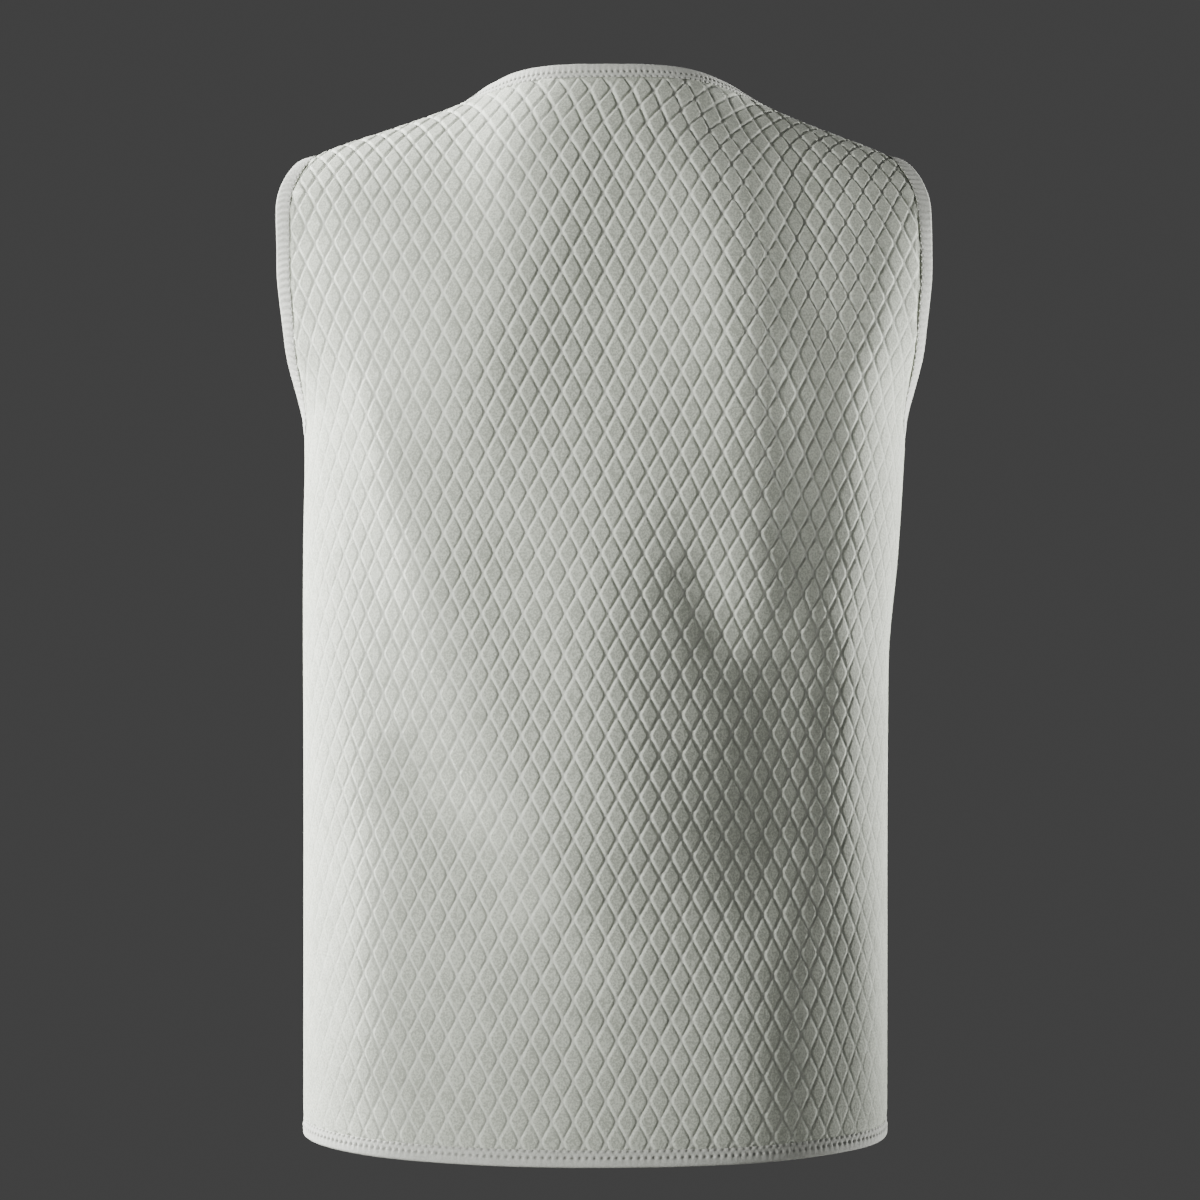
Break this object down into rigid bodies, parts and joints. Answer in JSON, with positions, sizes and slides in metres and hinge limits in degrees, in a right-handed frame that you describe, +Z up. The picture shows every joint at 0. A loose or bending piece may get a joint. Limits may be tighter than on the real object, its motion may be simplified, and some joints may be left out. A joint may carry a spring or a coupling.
{
  "type": "quilted vest",
  "caption": "Sleeveless collarless pullover vest of diamond-quilted padded cloth in its worn shape, with bound neckline, armholes and hem.",
  "frame": {"origin": "middle of the neck opening, level with the shoulder seams at the neck, where the vest hangs on the wearer's shoulders", "axes": "+Z up, the wearer faces -Y so the vest's back is +Y, and +X is the wearer's left"},
  "size_m": [0.4028, 0.2448, 0.6535],
  "materials": {
    "quilted_cloth": "matt pale grey knit, pressed into diamonds",
    "binding_tape": "matt pale grey tape, stitched"
  },
  "bodies": {
    "root": {"back_panel": "quilted_cloth", "front_panel": "quilted_cloth", "neck_binding": "binding_tape", "armhole_binding_left": "binding_tape", "armhole_binding_right": "binding_tape", "hem_binding": "binding_tape"}
  },
  "joints": []
}
